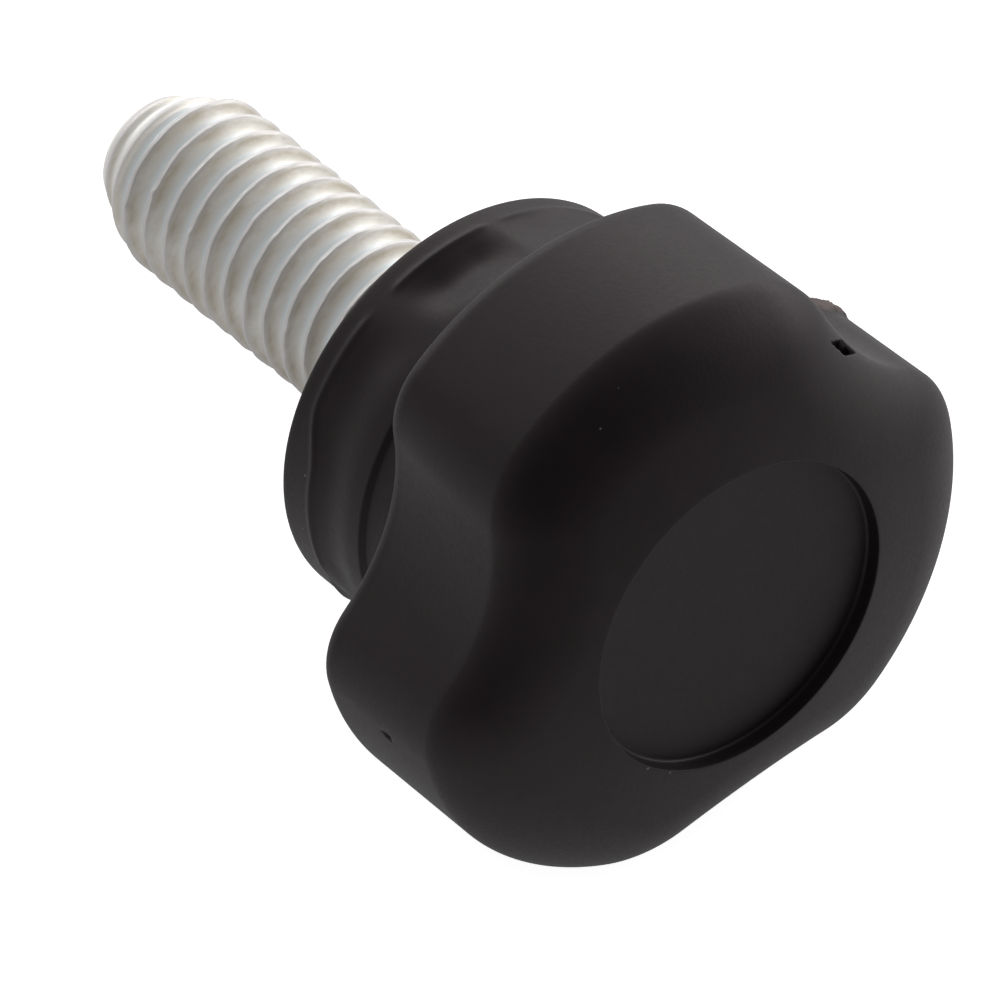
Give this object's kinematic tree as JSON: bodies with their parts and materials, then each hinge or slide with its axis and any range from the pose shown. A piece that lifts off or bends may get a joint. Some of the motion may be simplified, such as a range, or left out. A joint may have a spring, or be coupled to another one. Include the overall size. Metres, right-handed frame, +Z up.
{
  "type": "threaded handle",
  "caption": "Lobed clamping knob with a domed, shallowly recessed head, a ribbed waisted hub and a moulded-in threaded stud, lying at rest.",
  "frame": {"origin": "on the surface that the part lies on, below the middle of the laid part's box", "axes": "+X runs along the knob's axis as seen from above, from the stud's tip to the head, with the axis rising 16.3 degrees towards the head; +Z is up; the XZ plane is the plane of symmetry through the upper lobe"},
  "size_m": [0.0298, 0.0198, 0.0193],
  "materials": {
    "black_plastic": "finely grained matte moulding, black with a faint warm tone",
    "zinc_steel": "bright zinc plating, pale grey with faint olive and blue tints"
  },
  "bodies": {
    "root": {"knob_body": "black_plastic", "threaded_stud": "zinc_steel"}
  },
  "joints": []
}
